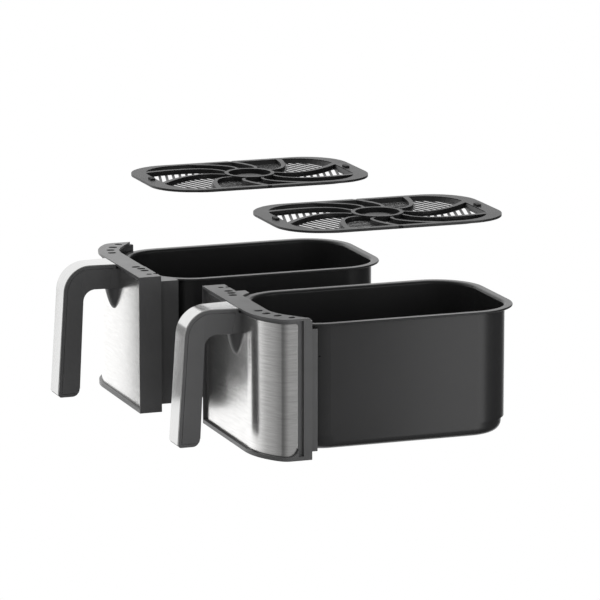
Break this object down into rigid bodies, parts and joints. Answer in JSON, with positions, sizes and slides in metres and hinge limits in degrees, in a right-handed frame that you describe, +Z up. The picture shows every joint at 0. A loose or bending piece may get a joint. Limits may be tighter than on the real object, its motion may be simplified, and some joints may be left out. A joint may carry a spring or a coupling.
{
  "type": "air fryer drawers",
  "caption": "Drawers of a two-basket air fryer, each a coated pan with a moulded front, wrapped steel panel and arched handle, and their slotted crisper plates lifted out above",
  "frame": {"origin": "centre of the overall box at its base, on the table", "axes": "+X to the right seen from the front, across both drawers; +Y to the rear, handles towards -Y; +Z up"},
  "size_m": [0.433, 0.3962, 0.2295],
  "materials": {
    "coating": "dark grey non-stick coating, satin",
    "plastic": "dark grey, finely grained",
    "steel": "brushed along the front",
    "zinc": "zinc-plated steel, satin",
    "silicone": "black silicone, matt"
  },
  "bodies": {
    "right_drawer": {"right_pan": "coating", "right_pan_bracket": "zinc", "right_bracket_screws": "zinc", "right_rear_cover": "plastic", "right_cover_screws": "zinc", "right_front_frame": "plastic", "right_steel_panel": "steel", "right_top_cap": "plastic", "right_handle_body": "plastic", "right_handle_trim": "steel", "right_handle_screws": "zinc"},
    "left_drawer": {"left_pan": "coating", "left_pan_bracket": "zinc", "left_bracket_screws": "zinc", "left_rear_cover": "plastic", "left_cover_screws": "zinc", "left_front_frame": "plastic", "left_steel_panel": "steel", "left_top_cap": "plastic", "left_handle_body": "plastic", "left_handle_trim": "steel", "left_handle_screws": "zinc"},
    "right_plate": {"right_crisper_plate": "coating", "right_plate_plugs": "silicone"},
    "left_plate": {"left_crisper_plate": "coating", "left_plate_plugs": "silicone"}
  },
  "joints": [
    {"name": "left_drawer_slide", "type": "slide", "parent": "right_drawer", "child": "left_drawer", "axis": [0, -1, 0], "range_m": [-0.25, 0.25]},
    {"name": "right_plate_lift", "type": "slide", "parent": "right_drawer", "child": "right_plate", "axis": [0, 0, 1], "range_m": [-0.2038, 0]},
    {"name": "left_plate_lift", "type": "slide", "parent": "left_drawer", "child": "left_plate", "axis": [0, 0, 1], "range_m": [-0.2038, 0]}
  ]
}
